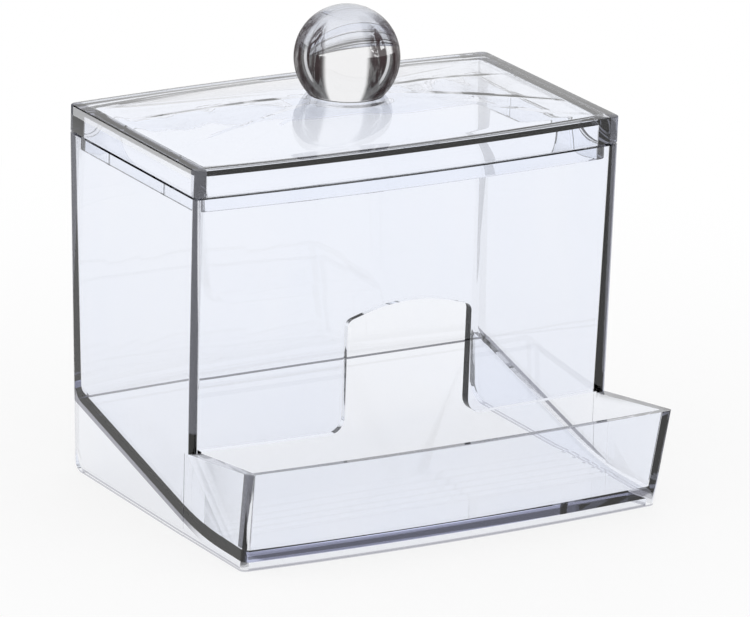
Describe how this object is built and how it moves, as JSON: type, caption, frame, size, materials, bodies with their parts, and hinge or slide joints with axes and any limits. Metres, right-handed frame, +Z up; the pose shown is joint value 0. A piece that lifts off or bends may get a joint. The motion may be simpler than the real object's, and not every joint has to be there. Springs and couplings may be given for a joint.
{
  "type": "cotton swab holder",
  "caption": "Clear swab dispenser: a box hopper with a sloped floor feeds a front tray under an arched window, and a domed lid with a ball knob lifts off.",
  "frame": {"origin": "on the table, midway between the tray's front and the back wall, and midway between the sides", "axes": "+X across the holder to the right as seen from the tray, +Y from the tray to the back wall, +Z up"},
  "size_m": [0.09, 0.075, 0.0904],
  "materials": {
    "body": "clear, polished",
    "lid": "clear, polished",
    "knob": "clear, polished"
  },
  "bodies": {
    "dispenser": {"body": "body"},
    "cover": {"lid": "lid", "knob": "knob"}
  },
  "joints": [
    {"name": "lid_lift", "type": "slide", "parent": "dispenser", "child": "cover", "axis": [0, 0, 1], "range_m": [0, 0.03]}
  ]
}
